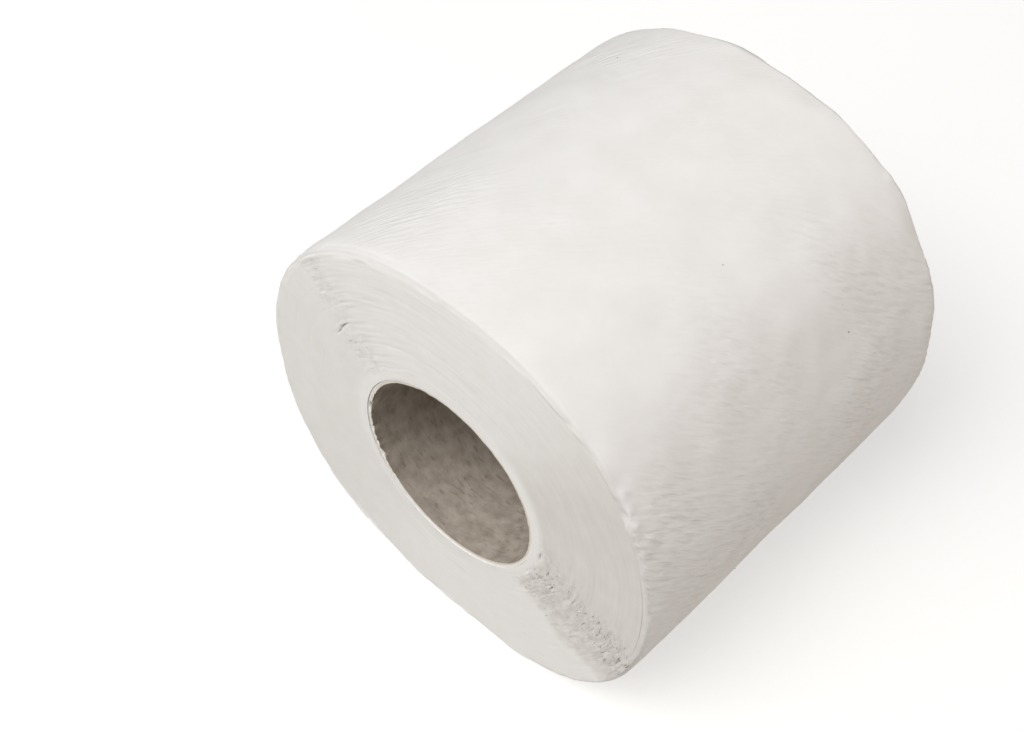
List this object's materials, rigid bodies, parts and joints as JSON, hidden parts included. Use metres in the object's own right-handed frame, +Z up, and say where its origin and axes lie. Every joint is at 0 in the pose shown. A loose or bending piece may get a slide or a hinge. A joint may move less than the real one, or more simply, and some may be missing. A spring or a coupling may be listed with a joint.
{
  "type": "toilet paper roll",
  "caption": "Full roll of white tissue paper wound on a hollow grey-brown chipboard core, lying on its side on a small flat spot, with its turns showing on both ends.",
  "frame": {"origin": "on the table, on the flat spot under the middle of the core's axis", "axes": "+Y along the core, from the end that the picture shows to the far end; +Z up; +X to the right as seen from the near end"},
  "size_m": [0.1035, 0.092, 0.0994],
  "materials": {
    "tissue": "matte",
    "chipboard": "matte"
  },
  "bodies": {
    "root": {"core_tube": "chipboard", "paper_winding": "tissue"}
  },
  "joints": []
}
